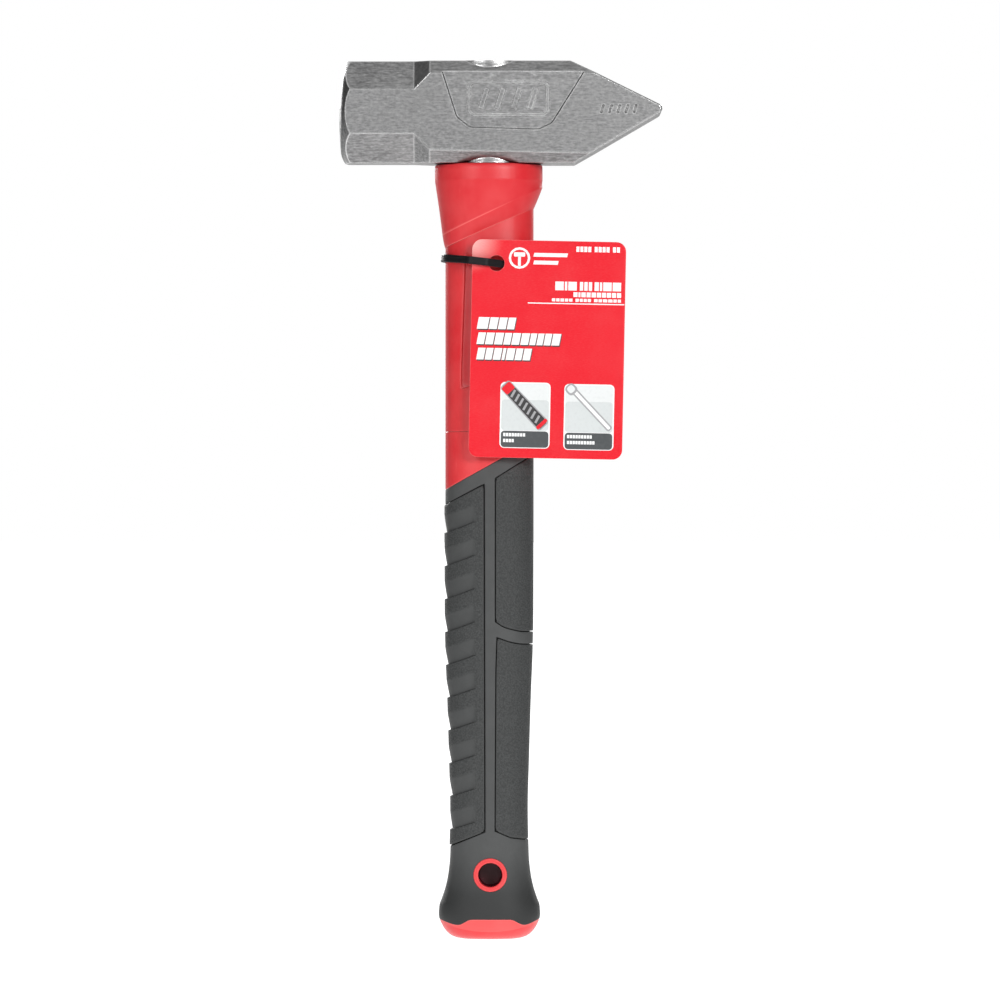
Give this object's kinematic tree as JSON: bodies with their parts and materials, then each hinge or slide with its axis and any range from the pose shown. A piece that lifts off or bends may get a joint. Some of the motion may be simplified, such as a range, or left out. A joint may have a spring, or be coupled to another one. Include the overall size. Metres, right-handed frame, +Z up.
{
  "type": "cross peen hammer",
  "caption": "Forged cross peen hammer head with an octagonal poll on a fibre-cored handle with a ribbed rubber grip, lanyard eyelet, hang tag and cable tie.",
  "frame": {"origin": "on the handle's axis at the underside of the head, where a rack carries the head", "axes": "+Z up along the handle into the head, +X towards the peen, -Y the front"},
  "size_m": [0.1268, 0.0411, 0.3448],
  "materials": {
    "forged_steel": "satin, ground lengthwise",
    "fiberglass": "pultruded glass fibre, cut end",
    "epoxy": "cast resin",
    "red_plastic": "moulded, satin",
    "grip_rubber": "smooth, satin",
    "pad_rubber": "fine pebble texture",
    "cap_plastic": "moulded, satin",
    "tag_card": "printed and varnished card",
    "tie_nylon": "moulded nylon"
  },
  "bodies": {
    "hammer": {"hammer_head": "forged_steel", "fiberglass_core": "fiberglass", "eye_epoxy": "epoxy", "overstrike_guard": "red_plastic", "handle_jacket": "red_plastic", "grip_body": "grip_rubber", "finger_panel": "pad_rubber", "palm_panel_upper": "pad_rubber", "palm_panel_lower": "pad_rubber", "lanyard_sleeve": "cap_plastic", "butt_cap": "cap_plastic"},
    "tie": {"cable_tie": "tie_nylon"},
    "tag": {"hang_tag": "tag_card"}
  },
  "joints": [
    {"name": "tie_slide", "type": "slide", "parent": "hammer", "child": "tie", "axis": [0, 0, 1], "range_m": [-0.065, 0]},
    {"name": "tag_swing", "type": "hinge", "parent": "tie", "child": "tag", "pos_m": [0.0028, -0.0182, -0.0395], "axis": [0, 1, 0], "range_deg": [-25, 30]}
  ]
}
